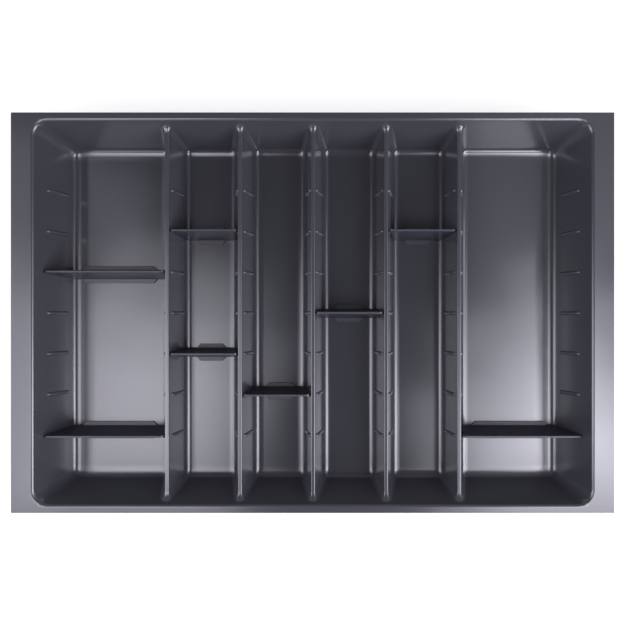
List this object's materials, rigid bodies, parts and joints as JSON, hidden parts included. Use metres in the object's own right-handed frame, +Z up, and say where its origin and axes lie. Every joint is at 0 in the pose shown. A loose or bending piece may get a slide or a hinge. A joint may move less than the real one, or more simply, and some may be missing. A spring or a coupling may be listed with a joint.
{
  "type": "cutlery tray",
  "caption": "Drawer insert tray formed from dark plastic sheet, with long bays between hollow ridges and lift-out cross dividers held by wall beads.",
  "frame": {"origin": "middle of the tray's underside, where it stands on the drawer's bottom", "axes": "+X to the right across the bays, +Y to the back of the drawer, +Z up"},
  "size_m": [0.717, 0.476, 0.06],
  "materials": {
    "tray_plastic": "satin anthracite sheet with a fine grain",
    "divider_plastic": "satin dark slate moulding"
  },
  "bodies": {
    "tray": {"tray": "tray_plastic"},
    "divider_bay1_row3": {"divider_bay1_row3": "divider_plastic"},
    "divider_bay1_row7": {"divider_bay1_row7": "divider_plastic"},
    "divider_bay2_row2": {"divider_bay2_row2": "divider_plastic"},
    "divider_bay2_row5": {"divider_bay2_row5": "divider_plastic"},
    "divider_bay3_row6": {"divider_bay3_row6": "divider_plastic"},
    "divider_bay4_row4": {"divider_bay4_row4": "divider_plastic"},
    "divider_bay5_row2": {"divider_bay5_row2": "divider_plastic"},
    "divider_bay6_row7": {"divider_bay6_row7": "divider_plastic"}
  },
  "joints": [
    {"name": "lift_bay1_row3", "type": "slide", "parent": "tray", "child": "divider_bay1_row3", "axis": [0, 0, 1], "range_m": [0, 0.06]},
    {"name": "lift_bay1_row7", "type": "slide", "parent": "tray", "child": "divider_bay1_row7", "axis": [0, 0, 1], "range_m": [0, 0.06]},
    {"name": "lift_bay2_row2", "type": "slide", "parent": "tray", "child": "divider_bay2_row2", "axis": [0, 0, 1], "range_m": [0, 0.06]},
    {"name": "lift_bay2_row5", "type": "slide", "parent": "tray", "child": "divider_bay2_row5", "axis": [0, 0, 1], "range_m": [0, 0.06]},
    {"name": "lift_bay3_row6", "type": "slide", "parent": "tray", "child": "divider_bay3_row6", "axis": [0, 0, 1], "range_m": [0, 0.06]},
    {"name": "lift_bay4_row4", "type": "slide", "parent": "tray", "child": "divider_bay4_row4", "axis": [0, 0, 1], "range_m": [0, 0.06]},
    {"name": "lift_bay5_row2", "type": "slide", "parent": "tray", "child": "divider_bay5_row2", "axis": [0, 0, 1], "range_m": [0, 0.06]},
    {"name": "lift_bay6_row7", "type": "slide", "parent": "tray", "child": "divider_bay6_row7", "axis": [0, 0, 1], "range_m": [0, 0.06]}
  ]
}
